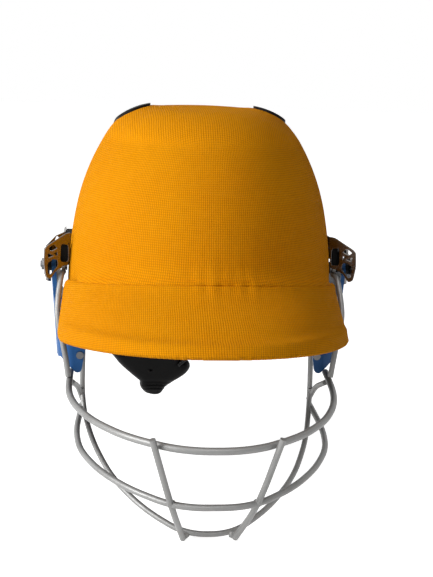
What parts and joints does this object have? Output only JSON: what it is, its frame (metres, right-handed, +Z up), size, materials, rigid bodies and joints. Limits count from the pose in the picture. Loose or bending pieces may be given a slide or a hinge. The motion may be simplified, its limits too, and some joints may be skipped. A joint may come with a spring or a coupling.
{
  "type": "cricket helmet",
  "caption": "Batting helmet with a fabric-covered shell and peak, side ear guards and a tilting welded wire face guard with a chin strap.",
  "frame": {"origin": "centre of the head space, on the helmet's middle plane, level with the upper edge of the ears", "axes": "+Z up as worn, the face looks along -Y, +X is the wearer's left"},
  "size_m": [0.2434, 0.3146, 0.2875],
  "materials": {
    "cover_fabric": "woven stretch fabric",
    "shell_plastic": "fine texture",
    "liner_foam": "moulded foam skin",
    "pad_fabric": "brushed knit",
    "bracket_steel": "plated",
    "fastener_steel": "satin",
    "black_rubber": "matt",
    "guard_plastic": "moulded satin",
    "grille_wire": "satin silver coat",
    "webbing": "woven webbing",
    "fitting_plastic": "moulded satin"
  },
  "bodies": {
    "shell": {"outer_shell": "shell_plastic", "crown_cover": "cover_fabric", "peak": "shell_plastic", "peak_cover": "cover_fabric", "edge_binding": "black_rubber", "foam_liner": "liner_foam", "brow_pad": "pad_fabric", "rear_pad": "pad_fabric", "crown_pad": "pad_fabric", "bracket_screws": "fastener_steel", "strap_rivets": "fastener_steel", "vent_cover_left": "shell_plastic", "vent_cover_right": "shell_plastic", "side_pad_left": "pad_fabric", "side_pad_right": "pad_fabric", "side_bracket_left": "bracket_steel", "side_bracket_right": "bracket_steel", "bracket_seat_left": "black_rubber", "bracket_seat_right": "black_rubber", "pivot_bolt_left": "fastener_steel", "pivot_bolt_right": "fastener_steel", "pivot_nut_left": "fastener_steel", "pivot_nut_right": "fastener_steel", "pivot_spacer_left": "fitting_plastic", "pivot_spacer_right": "fitting_plastic", "rubber_block_left": "black_rubber", "rubber_block_right": "black_rubber", "arm_guide_left": "fitting_plastic", "arm_guide_right": "fitting_plastic"},
    "face_guard": {"top_bar": "grille_wire", "middle_bar": "grille_wire", "chin_bar": "grille_wire", "front_rod_left": "grille_wire", "front_rod_right": "grille_wire", "cheek_brace_left": "grille_wire", "cheek_brace_right": "grille_wire", "side_stay_left": "grille_wire", "side_stay_right": "grille_wire", "ear_guard_left": "guard_plastic", "ear_guard_right": "guard_plastic", "guard_rivet_left": "fastener_steel", "guard_rivet_right": "fastener_steel"},
    "chin_strap": {"strap_left": "webbing", "strap_middle": "webbing", "strap_right": "webbing", "chin_cup": "fitting_plastic", "buckle_socket": "fitting_plastic", "buckle_plug": "fitting_plastic"},
    "cradle": {"nape_cradle": "fitting_plastic", "cradle_pad": "pad_fabric"},
    "dial": {"fit_dial": "fitting_plastic"}
  },
  "joints": [
    {"name": "grille_tilt", "type": "hinge", "parent": "shell", "child": "face_guard", "pos_m": [0, -0.012, 0.017], "axis": [-1, 0, 0], "range_deg": [-3, 6]},
    {"name": "strap_swing", "type": "hinge", "parent": "shell", "child": "chin_strap", "pos_m": [0, 0.004, -0.026], "axis": [1, 0, 0], "range_deg": [-20, 30]},
    {"name": "cradle_slide", "type": "slide", "parent": "shell", "child": "cradle", "axis": [0, -1, 0], "range_m": [0, 0.012]},
    {"name": "dial_turn", "type": "hinge", "parent": "cradle", "child": "dial", "pos_m": [0, 0.095, -0.062], "axis": [0, 1, 0], "range_deg": [0, 270]}
  ],
  "couplings": [
    {"joint": "cradle_slide", "follows": "dial_turn", "m_per_rad": 0.0025}
  ]
}
